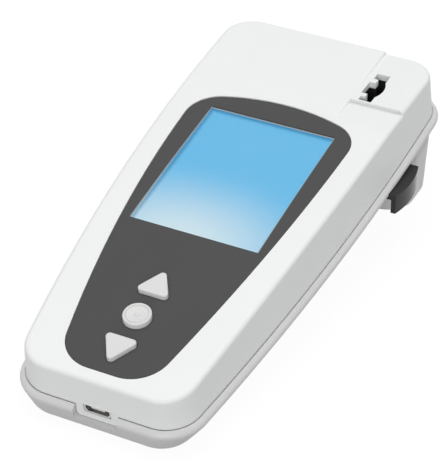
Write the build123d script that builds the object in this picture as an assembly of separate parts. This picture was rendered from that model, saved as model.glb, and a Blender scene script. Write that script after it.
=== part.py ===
from build123d import *
import math
import os

# A handheld point-of-care analyzer: a white wedge-shaped casing in two shells, a dark inset
# panel with a colour screen and three keys, a keyed sensor slot on a level deck at the rear
# right, an eject lever on the right-hand side and a charging socket in the front end.
#
# Two frames are used. The level frame is the part's own: its origin is the middle of the rear
# foot's underside, +Z is up, +Y points to the rear and +X to the right. The case frame leans
# forward by CASE_TILT: its origin lies in the seam between the shells, straight below the
# middle of the screen, and its XY plane is that seam. Sizes are in millimetres.

os.makedirs("parts", exist_ok=True)

# Case frame
CASE_TILT = 6.75            # lean of the seam, front end down, degrees
SEAM_HEIGHT = 17.7          # height of the case frame's origin above the table
SCREEN_TO_FOOT = 55.9       # case origin to the middle of the rear foot, along Y

# Outline of the casing in the seam
CASE_REAR = 70.6            # case origin to the rear wall
CASE_FRONT = 80.7           # case origin to the front wall
HALF_WIDTH_REAR = 33.4      # at REAR_STATION
HALF_WIDTH_MID = 31.85      # at the case origin
HALF_WIDTH_FRONT = 24.8     # at FRONT_STATION
REAR_STATION = 69.0
FRONT_STATION = 72.0
REAR_CORNER_R = 9.6
FRONT_CORNER_R = 9.8
WALL = 2.0                  # both shells
DRAFT = 3.8                 # lean of the upper walls, degrees

# Arched top
SCREEN_HEIGHT = 14.9        # seam to the top face, at the case origin
PANEL_SLOPE = 1.45          # slope of the top against the seam there, degrees
TOP_RADIUS = 903.0
TOP_EDGE_R = 1.3

# Level deck round the sensor slot and the shallow ramp before it
DECK_LEFT = 16.0            # X of the step beside the deck
DECK_FRONT = 42.5           # case Y of the step before it
DECK_RISE = 0.4             # deck over the arch at that step
DECK_SLOPE = 1.75           # slope of the deck against the table, degrees
RAMP_FRONT = 32.5           # case Y where the ramp leaves the arch
RAMP_DROP = 0.55            # ramp under the arch at the step
DECK_WALL = 1.9

# Lower shell
RIM_SIDES = 3.3             # top edge beyond the upper wall before it is rounded, at the sides
RIM_ENDS = 1.9              # the same at the front and rear
RIM_ROUND = 1.6
LOWER_DEPTH = 8.2           # seam to the underside
BELLY_SIDES = -2.8          # bottom edge against the upper wall before it is rounded, at the sides
BELLY_ENDS = 1.1            # the same at the front and rear
BELLY_ROUND = 4.0
SEAM_GROOVE = 0.4           # depth of the shadow line
GROOVE_IN = 0.7             # how far the shadow line runs in under the upper wall
GROOVE_OUT = 0.32           # how far it shows outside the upper wall
LIP_HEIGHT = 1.2
LIP_THICK = 1.0
LIP_GAP = 0.15

# Rear foot block
BLOCK_HALF_WIDTH = 32.7
BLOCK_HALF_LENGTH = 11.8
BLOCK_CORNER_R = 8.3
BLOCK_DRAFT = 2.5
BLOCK_WALL = 2.2
BLOCK_EDGE_R = 0.7
FOOT_PROUD = 0.2            # pad below the block
FOOT_SUNK = 0.6             # pad inside the block
FOOT_GAP = 0.15
REAR_FOOT_LENGTH = 44.0
REAR_FOOT_WIDTH = 8.0
FRONT_FOOT_R = 4.0
FRONT_FOOT_X = 12.4
FRONT_FOOT_Y = 68.0         # ahead of the case origin

# Dark panel, in the case frame
PANEL_GAP = 0.15
PANEL_RECESS = 0.3          # panel under the shell's top
PANEL_THICK = 1.1
PANEL_HALF_REAR = 25.0      # at 21.0 behind the origin
PANEL_HALF_MID = 22.0       # at 21.5 ahead of it
PANEL_HALF_FRONT = 15.0     # at 65.6 ahead of it
PANEL_REAR_STATION = 21.0
PANEL_MID_STATION = 21.5
PANEL_FRONT_STATION = 65.6
PANEL_REAR = 33.3           # crown of its rear edge
PANEL_REAR_R = 56.0         # radius of that edge
PANEL_FRONT = 76.5
PANEL_REAR_CORNER_R = 10.5
PANEL_FRONT_CORNER_R = 10.5

# Screen
SCREEN_WIDTH = 38.2
SCREEN_LENGTH = 50.5
WINDOW_GAP = 0.1
WINDOW_RECESS = 0.4         # window under the panel's face
WINDOW_THICK = 0.7
DISPLAY_WIDTH = 43.0
DISPLAY_LENGTH = 60.0
DISPLAY_THICK = 2.6
DISPLAY_DROP = 2.15         # display under the tangent plane of the top
DISPLAY_GAP = 0.3
FRAME_WALL = 1.2
FRAME_FLOOR = 1.0

# Keys
KEY_PITCH = 10.7
KEY_MIDDLE = 57.1           # round key, ahead of the case origin
KEY_ROUND_R = 3.85
KEY_ARROW_SIDE = 10.2       # side of the triangle before its corners are rounded
KEY_ARROW_ROUND = 1.1
KEY_PROUD = 1.3             # above the panel
KEY_GAP = 0.2
KEY_EDGE_R = 0.4
KEY_DISH_R = 14.0
KEY_DISH_DEPTH = 0.35
KEY_TRAVEL = 0.5
KEY_FLANGE = 0.9            # flange beyond the cap
KEY_FLANGE_THICK = 0.8
KEY_STEM_R = 1.4
KEY_TRAVEL_SPARE = 0.05     # left over the switch at full travel

# Boards and what is on them
BOARD_TOP = 5.6             # above the seam
BOARD_THICK = 1.6
BOARD_INSET = 9.2           # board edge inside the casing outline
BOARD_REAR = 39.0
BOARD_FRONT = 73.0
SWITCH_SIDE = 5.2
SWITCH_HEIGHT = 0.8
SWITCH_BUTTON_R = 1.3
SWITCH_BUTTON_HEIGHT = 0.2
SHIELD_WIDTH = 18.0
SHIELD_LENGTH = 16.0
SHIELD_HEIGHT = 1.6
BUZZER_R = 4.5
BUZZER_HEIGHT = 3.0
BATTERY_WIDTH = 34.0
BATTERY_LENGTH = 50.0
BATTERY_THICK = 5.5
BATTERY_EDGE_R = 1.2
BATTERY_FRONT = 50.0        # ahead of the case origin

# Charging socket
USB_WIDTH = 7.5
USB_HEIGHT = 2.5
USB_DEPTH = 5.6
USB_SKIN = 0.3
USB_BELOW_SEAM = 0.55       # middle of the socket under the seam
USB_SETBACK = 0.2           # socket mouth behind the front wall's face
USB_GAP = 0.2
USB_TONGUE_WIDTH = 3.9
USB_TONGUE_THICK = 0.6
USB_TONGUE_SHORT = 0.8      # tongue behind the mouth
USB_BOARD_WIDTH = 18.0
USB_BOARD_LENGTH = 15.0
USB_BOARD_THICK = 1.0
APRON_WIDTH = 12.2          # tab of the upper shell that frames the socket
APRON_DEPTH = 3.7
APRON_GAP = 0.15
APRON_CORNER_R = 1.0

# Screws
SCREW_R = 1.25
SCREW_HEAD_R = 2.2
SCREW_HEAD_HEIGHT = 1.4
SCREW_FIT = 0.02
SMALL_SCREW_R = 1.0
SMALL_HEAD_R = 1.7
SMALL_HEAD_HEIGHT = 1.1
DRIVE_R = 0.9               # socket in a casing screw's head
DRIVE_DEPTH = 0.7
BOSS_R = 2.9
SMALL_BOSS_R = 2.2
CASE_SCREW_GRIP = 6.5       # casing screw inside the upper boss
SMALL_SCREW_GRIP = 3.5
FRONT_SCREW_X = 19.6
FRONT_SCREW_Y = 66.0        # ahead of the case origin
SIDE_SCREW_X = 26.8
SIDE_SCREW_Y = 16.0         # behind the case origin
REAR_SCREW_X = 26.5
REAR_SCREW_Y = 5.9          # behind the rear foot's middle
REAR_BOSS_TOP = 22.0        # height where the rear bosses meet
REAR_SEAT = 16.0            # height of the rear screws' heads' seat
HEAD_ROOM = 0.4
SEAT_THICK = 2.0            # plastic under a casing screw's head
BOARD_SCREW_REAR = (18.0, 36.3)
BOARD_SCREW_FRONT = (13.0, -63.0)
USB_SCREW_X = 6.0
USB_SCREW_Y = 66.5

# Sensor slot and the module below it, in the level frame; Y counts from the slot's middle
SLOT_X = 20.5
SLOT_BEHIND_SCREEN = 50.2   # slot middle behind the screen's middle, along the level
SLOT_NECK_LEFT = 0.9        # left edge of the long channel, from SLOT_X
SLOT_RIGHT = 1.7
SLOT_REAR = 7.7
SLOT_FRONT = 7.3
SLOT_KEY_LEFT = 2.8
SLOT_KEY_REAR = 2.7
SLOT_KEY_FRONT = 3.5
SLOT_TOP_LEFT = 2.4
SLOT_TOP_RIGHT = 1.3
SLOT_TOP_FROM = 4.7
SLOT_END_LEFT = 2.2
SLOT_END_TO = 5.1
SLOT_BULGE_R = 8.6
SLOT_BULGE = 2.75           # right-hand bulge from SLOT_X
SLOT_BULGE_BACK = -0.3      # its crown against the slot's middle
GUIDE_GROW = 0.15           # guide channel beyond the slot
GUIDE_WALL = 1.7
GUIDE_FLOOR = 24.0          # height of its underside
GUIDE_FLOOR_THICK = 2.0
GUIDE_GAP = 0.05
GUIDE_POST_R = 2.4
GUIDE_SCREW_LEFT = 8.2      # from SLOT_X
GUIDE_SCREW_RIGHT = 7.3
GUIDE_SCREW_SHIFT = 2.6     # right-hand screw behind the slot's middle
LIGHT_HEIGHT = 31.5
LIGHT_R = 1.4
LIGHT_FIT = 0.1
LENS_DEPTH = 1.4
OPTICS_BOARD_THICK = 1.1
OPTICS_BOARD_WIDTH = 10.0
OPTICS_BOARD_HEIGHT = 8.6
HEATER_WIDTH = 7.2
HEATER_THICK = 2.0
HEATER_HEIGHT = 9.0
PLUNGER_WIDTH = 1.6
PLUNGER_LENGTH = 4.0
PLUNGER_GAP = 0.15

# Eject lever, in the level frame
LEVER_TOP = 19.1            # height of its top face
LEVER_PLATE = 1.7
LEVER_LENGTH = 17.2
LEVER_FRONT = 29.35         # front end ahead of the rear foot's middle
LEVER_OUT = 36.9            # X of the outer face at its ends
LEVER_BULGE = 1.3
LEVER_WEB = 1.4
LEVER_WEB_DROP = 6.0        # web below the top face
LEVER_INNER = 31.3          # X where the plate narrows to its neck
LEVER_PIVOT_X = 28.5
LEVER_HUB_R = 1.8
LEVER_HUB_START = 1.1       # from the lever's front end
LEVER_HUB_LENGTH = 9.6
LEVER_ARM_WIDTH = 4.0
LEVER_ARM_PAST = 2.0        # arm past the plunger
LEVER_ANGLE = 18.0          # travel, degrees
LEVER_CLEAR = 0.3           # shell round the moving lever
PIN_R = 0.8
PIN_FIT = 0.05
PIN_HELD = 0.01
LUG_THICK = 1.9
LUG_SIDE_GAP = 0.2
LUG_HALF_WIDTH = 2.2
LUG_RISE = 1.6
SPRING_R = 1.7
SPRING_WIRE = 0.5
SPRING_LENGTH = 3.6
LEVER_SEAT = 0.1            # plunger above the arm

CASE = Location((0, -SCREEN_TO_FOOT, SEAM_HEIGHT), (CASE_TILT, 0, 0))
SCREEN_Y = -SCREEN_TO_FOOT - SCREEN_HEIGHT * math.sin(math.radians(CASE_TILT))
SLOT_Y = SCREEN_Y + SLOT_BEHIND_SCREEN
FAR = 60.0                  # past everything to the side
TALL = 30.0                 # past everything above the seam


def box_between(low, high):
    """A box from its lowest to its highest corner."""
    size = [b - a for a, b in zip(low, high)]
    middle = [(a + b) / 2 for a, b in zip(low, high)]
    return Pos(*middle) * Box(*size)


def rod(x, y, z, radius, length):
    """An upright cylinder that stands on (x, y, z)."""
    return Pos(x, y, z + length / 2) * Cylinder(radius, length)


def circle_through(a, b, c):
    """Centre and radius of the circle through three points."""
    d = 2 * (a[0] * (b[1] - c[1]) + b[0] * (c[1] - a[1]) + c[0] * (a[1] - b[1]))
    sq = [p[0] ** 2 + p[1] ** 2 for p in (a, b, c)]
    x = (sq[0] * (b[1] - c[1]) + sq[1] * (c[1] - a[1]) + sq[2] * (a[1] - b[1])) / d
    y = (sq[0] * (c[0] - b[0]) + sq[1] * (a[0] - c[0]) + sq[2] * (b[0] - a[0])) / d
    return x, y, math.hypot(a[0] - x, a[1] - y)


def side_at(circle, y, grow=0.0):
    """X of a bowed side at y, moved outwards by grow."""
    return circle[0] + math.sqrt((circle[2] + grow) ** 2 - (y - circle[1]) ** 2)


CASE_SIDE = circle_through(
    (HALF_WIDTH_REAR, REAR_STATION), (HALF_WIDTH_MID, 0), (HALF_WIDTH_FRONT, -FRONT_STATION))
PANEL_SIDE = circle_through(
    (PANEL_HALF_REAR, PANEL_REAR_STATION),
    (PANEL_HALF_MID, -PANEL_MID_STATION),
    (PANEL_HALF_FRONT, -PANEL_FRONT_STATION))


def bowed_sides(circle, front, rear, grow):
    """The two bowed side edges of an outline, and their four ends."""
    middle = (front + rear) / 2
    ends = [(side_at(circle, y, grow), y) for y in (front, middle, rear)]
    right = ThreePointArc(*ends)
    left = ThreePointArc(*[(-x, y) for x, y in ends])
    return right, left, ends


def case_outline(grow=0.0, ends=None):
    """The casing's outline in the seam, moved outwards by grow, its front and rear by ends."""
    ends_grow = grow if ends is None else ends
    front, rear = -CASE_FRONT - ends_grow, CASE_REAR + ends_grow
    right, left, corners = bowed_sides(CASE_SIDE, front, rear, grow)
    xf, xr = corners[0][0], corners[2][0]
    corner_grow = (grow + ends_grow) / 2
    ring = [right, Line((xr, rear), (-xr, rear)), left, Line((-xf, front), (xf, front))]
    face = make_face(ring)
    face = fillet(face.vertices().group_by(Axis.Y)[-1], max(REAR_CORNER_R + corner_grow, WALL / 2))
    return fillet(face.vertices().group_by(Axis.Y)[0], max(FRONT_CORNER_R + corner_grow, WALL / 2))


def panel_outline(grow=0.0):
    """The dark panel's outline: bowed sides, a crowned rear edge and a straight front edge."""
    radius = PANEL_REAR_R + grow
    crown = PANEL_REAR + grow
    rear = PANEL_REAR
    for _ in range(20):
        x = side_at(PANEL_SIDE, rear, grow)
        rear = crown - radius + math.sqrt(radius ** 2 - x ** 2)
    front = -PANEL_FRONT - grow
    right, left, ends = bowed_sides(PANEL_SIDE, front, rear, grow)
    xf, xr = ends[0][0], ends[2][0]
    top = ThreePointArc((xr, rear), (0, crown), (-xr, rear))
    face = make_face([right, top, left, Line((-xf, front), (xf, front))])
    face = fillet(face.vertices().group_by(Axis.Y)[-1], PANEL_REAR_CORNER_R + grow)
    return fillet(face.vertices().group_by(Axis.Y)[0], PANEL_FRONT_CORNER_R + grow)


def arch(y, drop=0.0):
    """Height of the arched top above the seam at y, lowered by drop."""
    return SCREEN_HEIGHT + math.tan(math.radians(PANEL_SLOPE)) * y - y * y / (2 * TOP_RADIUS) - drop


def below_arch(drop=0.0):
    """Everything under the arched top, lowered by drop, in the case frame."""
    front, rear = -CASE_FRONT - WALL * 5, CASE_REAR + WALL * 5
    middle = (front + rear) / 2
    points = [(0, y, arch(y, drop)) for y in (front, middle, rear)]
    floor = Polyline(points[2], (0, rear, -TALL), (0, front, -TALL), points[0])
    face = make_face([ThreePointArc(*points), floor])
    return extrude(face, amount=FAR, dir=(1, 0, 0), both=True)


def arch_layer(top, bottom):
    """The slab between the arched top lowered by top and by bottom."""
    return below_arch(top) - below_arch(bottom)


def below_slope(y, z, slope):
    """Everything under a plane through (y, z) that climbs to the rear by slope degrees."""
    slab = box_between((-FAR, -2 * CASE_FRONT, -2 * TALL), (FAR, 2 * CASE_REAR, 0))
    return Pos(0, y, z) * Rot(slope, 0, 0) * slab


def below_deck(drop=0.0):
    """Everything under the sensor deck, in the case frame."""
    return below_slope(DECK_FRONT, arch(DECK_FRONT) + DECK_RISE - drop, DECK_SLOPE - CASE_TILT)


def below_ramp():
    """Everything under the shallow ramp before the deck, in the case frame."""
    low = arch(DECK_FRONT) - RAMP_DROP
    high = arch(RAMP_FRONT)
    slope = math.degrees(math.atan2(low - high, DECK_FRONT - RAMP_FRONT))
    return below_slope(RAMP_FRONT, high, slope)


def top_face(solid):
    """The largest face that looks upwards."""
    faces = [f for f in solid.faces() if f.normal_at(None).Z > 0.9]
    return max(faces, key=lambda f: f.area)


def rounded_cap(limit):
    """The upper shell's outside under one top surface, with that surface's edge rounded."""
    body = extrude(case_outline(), amount=TALL, taper=DRAFT) & limit
    return fillet(top_face(body).edges(), TOP_EDGE_R)


def deck_region(margin=0.0, front=DECK_FRONT):
    """The part of the casing that lies under the deck."""
    return box_between((DECK_LEFT - margin, front - margin, -TALL), (FAR, 2 * CASE_REAR, 2 * TALL))


def upper_outside():
    """The upper shell as a solid block: arched top, level deck and ramp."""
    deck = deck_region()
    both = deck_region(front=RAMP_FRONT)
    body = rounded_cap(below_arch()) - both
    body += rounded_cap(below_ramp()) & (both - deck)
    body += rounded_cap(below_deck()) & deck
    return body


def upper_inside():
    """The hollow of the upper shell."""
    hollow = extrude(case_outline(-WALL), amount=TALL, taper=DRAFT)
    under = deck_region(margin=WALL)
    return (hollow & below_arch(WALL) - under) + (hollow & below_arch(WALL) & below_deck(DECK_WALL) & under)


def arrow_outline(point, grow=0.0):
    """A rounded triangle that points to the rear (1) or to the front (-1)."""
    side = KEY_ARROW_SIDE + grow * 2 * math.sqrt(3)
    height = side * math.sqrt(3) / 2
    face = make_face(Polyline(
        (0, point * height * 2 / 3), (-side / 2, -point * height / 3),
        (side / 2, -point * height / 3), close=True))
    return fillet(face.vertices(), KEY_ARROW_ROUND + grow)


def key_outline(which, grow=0.0):
    """Outline of a key at its place: which is 1 for up, 0 for select and -1 for down."""
    y = -KEY_MIDDLE + which * KEY_PITCH
    face = arrow_outline(which, grow) if which else make_face(Circle(KEY_ROUND_R + grow).edges())
    return Pos(0, y) * face


def boss_places():
    """Case-frame places of the casing screws that stand square to the seam."""
    places = []
    for side in (-1, 1):
        places.append((side * FRONT_SCREW_X, -FRONT_SCREW_Y))
        places.append((side * SIDE_SCREW_X, SIDE_SCREW_Y))
    return places


def board_screw_places():
    """Case-frame places of the main board's screws."""
    return [(side * x, y) for side in (-1, 1) for x, y in (BOARD_SCREW_REAR, BOARD_SCREW_FRONT)]


def rear_screw_places():
    """Level-frame places of the two casing screws in the foot block."""
    return [(side * REAR_SCREW_X, REAR_SCREW_Y) for side in (-1, 1)]


def slot_outline(grow=0.0):
    """The keyed outline of the sensor slot, in the level frame."""
    def area(left, right, front, rear):
        width, length = left + right + 2 * grow, front + rear + 2 * grow
        return Pos((right - left) / 2, (rear - front) / 2) * Rectangle(width, length)
    face = area(SLOT_NECK_LEFT, SLOT_RIGHT, SLOT_FRONT, SLOT_REAR)
    face += area(SLOT_KEY_LEFT, SLOT_RIGHT, SLOT_KEY_FRONT, SLOT_KEY_REAR)
    face += area(SLOT_TOP_LEFT, SLOT_TOP_RIGHT, -SLOT_TOP_FROM, SLOT_REAR)
    face += area(SLOT_END_LEFT, SLOT_RIGHT, SLOT_FRONT, -SLOT_END_TO)
    bulge = Pos(SLOT_BULGE - SLOT_BULGE_R, SLOT_BULGE_BACK) * Circle(SLOT_BULGE_R + grow)
    face += bulge & Pos(FAR / 2, 0) * Rectangle(FAR, 4 * SLOT_REAR)
    return Pos(SLOT_X, SLOT_Y) * face


def slot_prism(grow, low, high):
    """The slot's outline as a level-frame prism between two heights."""
    return Pos(0, 0, low) * extrude(slot_outline(grow), amount=high - low)


def usb_middle():
    """Case-frame Y and Z of the middle of the socket's mouth."""
    return -CASE_FRONT + USB_SETBACK, -USB_BELOW_SEAM


def apron(grow=0.0, thick=WALL):
    """The tab on the upper shell's front wall that frames the charging socket."""
    width = APRON_WIDTH + 2 * grow
    depth = APRON_DEPTH + grow
    tab = box_between((-width / 2, -CASE_FRONT, -depth), (width / 2, -CASE_FRONT + thick, WALL / 2))
    return fillet(tab.edges().filter_by(Axis.Y).group_by(Axis.Z)[0], APRON_CORNER_R)


def upper_shell():
    """White top half of the casing."""
    body = upper_outside() - upper_inside() + apron()
    under_top = below_arch(WALL / 2)
    for x, y in boss_places():
        body += rod(x, y, 0, BOSS_R, TALL) & under_top
        body -= rod(x, y, 0, SCREW_R + SCREW_FIT, CASE_SCREW_GRIP)
    for x, y in board_screw_places():
        body += rod(x, y, BOARD_TOP, SMALL_BOSS_R, TALL) & under_top
        body -= rod(x, y, BOARD_TOP, SMALL_SCREW_R + SCREW_FIT, SMALL_SCREW_GRIP)
    pocket_floor = below_arch(PANEL_RECESS + PANEL_THICK)
    body -= extrude(panel_outline(PANEL_GAP), amount=TALL) - pocket_floor
    view = Pos(0, 0, SCREEN_HEIGHT) * Box(SCREEN_WIDTH + WALL, SCREEN_LENGTH + WALL, TALL)
    body -= view
    display_hole = Box(DISPLAY_WIDTH + 2 * DISPLAY_GAP, DISPLAY_LENGTH + 2 * DISPLAY_GAP, TALL)
    body -= (Pos(0, 0, SCREEN_HEIGHT) * Rot(PANEL_SLOPE, 0, 0) * display_hole) & pocket_floor
    for which in (1, 0, -1):
        body -= extrude(key_outline(which, KEY_GAP), amount=TALL)
    y, z = usb_middle()
    mouth = Box(USB_WIDTH + 2 * USB_GAP, 4 * WALL, USB_HEIGHT + 2 * USB_GAP)
    body -= Pos(0, y, z) * fillet(mouth.edges().filter_by(Axis.Y), USB_HEIGHT / 4)
    body = CASE * body
    under_top = CASE * (below_arch(WALL / 2) & below_deck(DECK_WALL / 2))
    for x, y in rear_screw_places():
        body += rod(x, y, REAR_BOSS_TOP, BOSS_R, TALL) & under_top
        body -= rod(x, y, REAR_BOSS_TOP, SCREW_R + SCREW_FIT, CASE_SCREW_GRIP)
    return body - slot_prism(0, GUIDE_FLOOR, 2 * TALL)


def block_outline(grow=0.0):
    """Plan of the rear foot block, at its underside."""
    return RectangleRounded(
        2 * (BLOCK_HALF_WIDTH + grow), 2 * (BLOCK_HALF_LENGTH + grow), BLOCK_CORNER_R + grow)


def foot_block():
    """The block under the rear end that stands on the table, in the level frame."""
    block = extrude(block_outline(), amount=TALL, taper=-BLOCK_DRAFT)
    block = fillet(block.faces().sort_by(Axis.Z)[0].edges(), BLOCK_EDGE_R)
    above_rim = box_between((-FAR, -2 * CASE_FRONT, -BELLY_ROUND / 2), (FAR, 2 * CASE_REAR, 2 * TALL))
    return Pos(0, 0, FOOT_PROUD) * block - CASE * above_rim


def block_inside():
    """The hollow of the foot block, open to the casing above it."""
    hollow = extrude(block_outline(-BLOCK_WALL), amount=TALL, taper=-BLOCK_DRAFT)
    above_seam = box_between((-FAR, -2 * CASE_FRONT, -RIM_ROUND), (FAR, 2 * CASE_REAR, 2 * TALL))
    return Pos(0, 0, FOOT_PROUD + BLOCK_WALL) * hollow - CASE * above_seam


def lower_outside():
    """The lower shell's rounded tub as a solid block, in the case frame; its sides lean in."""
    underside = Pos(0, 0, -LOWER_DEPTH) * case_outline(BELLY_SIDES, BELLY_ENDS)
    body = loft([case_outline(RIM_SIDES, RIM_ENDS), underside], ruled=True)
    body = fillet(body.faces().sort_by(Axis.Z)[-1].edges(), RIM_ROUND)
    return fillet(body.faces().sort_by(Axis.Z)[0].edges(), BELLY_ROUND)


def lower_inside():
    """The hollow of the lower shell's tub."""
    body = extrude(case_outline(-WALL), amount=-(LOWER_DEPTH - WALL))
    return fillet(body.faces().sort_by(Axis.Z)[0].edges(), BELLY_ROUND - WALL)


def ring(outer, inner, low, high):
    """A band that follows the casing's outline between two offsets and two heights."""
    height = high - low
    band = extrude(case_outline(outer), amount=height) - extrude(case_outline(inner), amount=height)
    return Pos(0, 0, low) * band


def lever_span():
    """Level-frame Y of the lever's front and rear ends."""
    return -LEVER_FRONT, -LEVER_FRONT + LEVER_LENGTH


def pivot_height():
    return LEVER_TOP - LEVER_PLATE / 2


def hub_span():
    """Level-frame Y of the two ends of the lever's hub."""
    front = lever_span()[0] + LEVER_HUB_START
    return front, front + LEVER_HUB_LENGTH


def lug_starts():
    """Level-frame Y where each of the two lugs for the pivot pin starts."""
    front, rear = hub_span()
    return front - LUG_SIDE_GAP - LUG_THICK, rear + SPRING_LENGTH + 2 * LUG_SIDE_GAP


def under_seam(depth):
    """Everything deeper than depth under the seam, in the level frame."""
    return CASE * box_between((-FAR, -2 * CASE_FRONT, -TALL), (FAR, 2 * CASE_REAR, -depth))


def lever_lugs():
    """Two lugs that stand on the lower shell's floor and hold the pivot pin."""
    top = pivot_height() + PIN_R + LUG_RISE
    lugs = None
    for start in lug_starts():
        lug = box_between(
            (LEVER_PIVOT_X - LUG_HALF_WIDTH, start, 0),
            (LEVER_PIVOT_X + LUG_HALF_WIDTH, start + LUG_THICK, top))
        lug -= under_seam(LOWER_DEPTH - WALL / 2)
        lugs = lug if lugs is None else lugs + lug
    return lugs


def lever_relief():
    """Room for the lever in the lower shell: hub, neck, inner arm and the plate in the side wall."""
    first, last = lug_starts()
    length = last - first - LUG_THICK
    hub = Pos(LEVER_PIVOT_X, first + LUG_THICK + length / 2, pivot_height()) * Rot(90, 0, 0)
    room = hub * Cylinder(LEVER_HUB_R + LEVER_CLEAR, length)
    half = LEVER_ARM_WIDTH / 2 + LEVER_CLEAR
    low = LEVER_TOP - LEVER_PLATE - LEVER_CLEAR
    room += box_between(
        (SLOT_X - half, lever_span()[0], low),
        (SLOT_X + half, SLOT_Y + PLUNGER_LENGTH, LEVER_TOP))
    dip = math.sin(math.radians(LEVER_ANGLE))
    front, rear = hub_span()
    room += box_between(
        (LEVER_PIVOT_X, front - LEVER_CLEAR, low - (LEVER_INNER - LEVER_PIVOT_X) * dip),
        (LEVER_INNER, rear + LEVER_CLEAR, LEVER_TOP))
    front, rear = lever_span()
    deep = low - (LEVER_OUT - LEVER_WEB - LEVER_PIVOT_X) * dip
    room += box_between(
        (LEVER_INNER - 2 * LEVER_CLEAR, front - LEVER_CLEAR, deep),
        (FAR, rear + LEVER_CLEAR, LEVER_TOP + LEVER_CLEAR))
    return room


def lever_pin_solid(grow=0.0):
    """The pivot pin, from the front face of one lug to the rear face of the other."""
    first, last = lug_starts()
    length = last + LUG_THICK - first
    pin = Cylinder(PIN_R + grow, length)
    return Pos(LEVER_PIVOT_X, first + length / 2, pivot_height()) * Rot(90, 0, 0) * pin


def guide_posts():
    """Level-frame places of the two posts that carry the sensor guide."""
    return [(SLOT_X - GUIDE_SCREW_LEFT, SLOT_Y), (SLOT_X + GUIDE_SCREW_RIGHT, SLOT_Y + GUIDE_SCREW_SHIFT)]


def usb_board_top():
    return -USB_BELOW_SEAM - USB_HEIGHT / 2


def seam_lip():
    """The lip of the lower shell that locates the upper one, left open round its bosses."""
    inner = -WALL - LIP_GAP - LIP_THICK
    lip = ring(-WALL / 2, inner, -WALL, 0) & lower_outside()
    lip += ring(-WALL - LIP_GAP, inner, -WALL, LIP_HEIGHT)
    for x, y in boss_places():
        lip -= rod(x, y, 0, BOSS_R + LIP_GAP, TALL)
    return lip


def lower_shell():
    """White bottom half of the casing, with its rounded rim and the rear foot block."""
    body = CASE * lower_outside() + foot_block()
    body = body - CASE * lower_inside() - block_inside() + CASE * seam_lip()
    post = usb_board_top() - USB_BOARD_THICK + LOWER_DEPTH - WALL
    for x, y in boss_places():
        body += CASE * (rod(x, y, -LOWER_DEPTH, BOSS_R + WALL / 4, LOWER_DEPTH) & lower_outside())
    for x in (-USB_SCREW_X, USB_SCREW_X):
        body += CASE * rod(x, -USB_SCREW_Y, -LOWER_DEPTH + WALL, SMALL_BOSS_R, post)
    floor = FOOT_PROUD + BLOCK_WALL / 2
    inside = CASE * Pos(0, 0, -TALL) * extrude(case_outline(-WALL / 2), amount=TALL)
    for x, y in rear_screw_places():
        body += rod(x, y, floor, BOSS_R + WALL / 2, REAR_BOSS_TOP - floor) & inside
    for x, y in guide_posts():
        body += rod(x, y, floor, GUIDE_POST_R, GUIDE_FLOOR - floor)
    body += lever_lugs()
    return body - CASE * lower_cuts() - level_cuts()


def lower_cuts():
    """What is cut from the lower shell square to the seam."""
    cuts = ring(GROOVE_OUT, -GROOVE_IN, -SEAM_GROOVE, 0)
    cuts += apron(APRON_GAP, thick=WALL + LIP_GAP + LIP_THICK + APRON_GAP)
    width = APRON_WIDTH + 2 * APRON_GAP
    notch = box_between(
        (-width / 2, -CASE_FRONT - 2 * RIM_ENDS, -APRON_DEPTH - APRON_GAP),
        (width / 2, -CASE_FRONT + WALL, RIM_ENDS))
    cuts += fillet(notch.edges().filter_by(Axis.Y).group_by(Axis.Z)[0], APRON_CORNER_R)
    for x, y in boss_places():
        cuts += rod(x, y, -LOWER_DEPTH, SCREW_R + SCREW_FIT, LOWER_DEPTH)
        cuts += rod(x, y, -LOWER_DEPTH, SCREW_HEAD_R + HEAD_ROOM, LOWER_DEPTH - SEAT_THICK)
    post = usb_board_top() - USB_BOARD_THICK + LOWER_DEPTH - WALL
    for x in (-USB_SCREW_X, USB_SCREW_X):
        cuts += rod(x, -USB_SCREW_Y, -LOWER_DEPTH + WALL, SMALL_SCREW_R + SCREW_FIT, post)
    for x in (-FRONT_FOOT_X, FRONT_FOOT_X):
        cuts += rod(x, -FRONT_FOOT_Y, -LOWER_DEPTH, FRONT_FOOT_R + FOOT_GAP, FOOT_SUNK)
    return cuts


def level_cuts():
    """What is cut from the lower shell square to the table."""
    half = (REAR_FOOT_LENGTH / 2 + FOOT_GAP, REAR_FOOT_WIDTH / 2 + FOOT_GAP)
    cuts = box_between((-half[0], -half[1], 0), (half[0], half[1], FOOT_PROUD + FOOT_SUNK))
    for x, y in rear_screw_places():
        cuts += rod(x, y, 0, SCREW_R + SCREW_FIT, REAR_BOSS_TOP)
        cuts += rod(x, y, 0, SCREW_HEAD_R + HEAD_ROOM, REAR_SEAT)
        cuts += rod(x, y, REAR_BOSS_TOP, BOSS_R + LIP_GAP, TALL)
    for x, y in guide_posts():
        cuts += rod(x, y, GUIDE_FLOOR - SMALL_SCREW_GRIP, SMALL_SCREW_R + SCREW_FIT, SMALL_SCREW_GRIP)
    return cuts + lever_relief() + lever_pin_solid(PIN_HELD)


def front_panel():
    """Dark inset panel with openings for the screen and the keys."""
    body = extrude(panel_outline(), amount=TALL) & arch_layer(PANEL_RECESS, PANEL_RECESS + PANEL_THICK)
    body -= Pos(0, 0, SCREEN_HEIGHT) * Box(SCREEN_WIDTH, SCREEN_LENGTH, TALL)
    for which in (1, 0, -1):
        body -= extrude(key_outline(which, KEY_GAP), amount=TALL)
    return CASE * body


def screen_window():
    """Clear window in the panel."""
    width, length = SCREEN_WIDTH - 2 * WINDOW_GAP, SCREEN_LENGTH - 2 * WINDOW_GAP
    top = PANEL_RECESS + WINDOW_RECESS
    return CASE * (Pos(0, 0, SCREEN_HEIGHT) * Box(width, length, TALL) & arch_layer(top, top + WINDOW_THICK))


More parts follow.
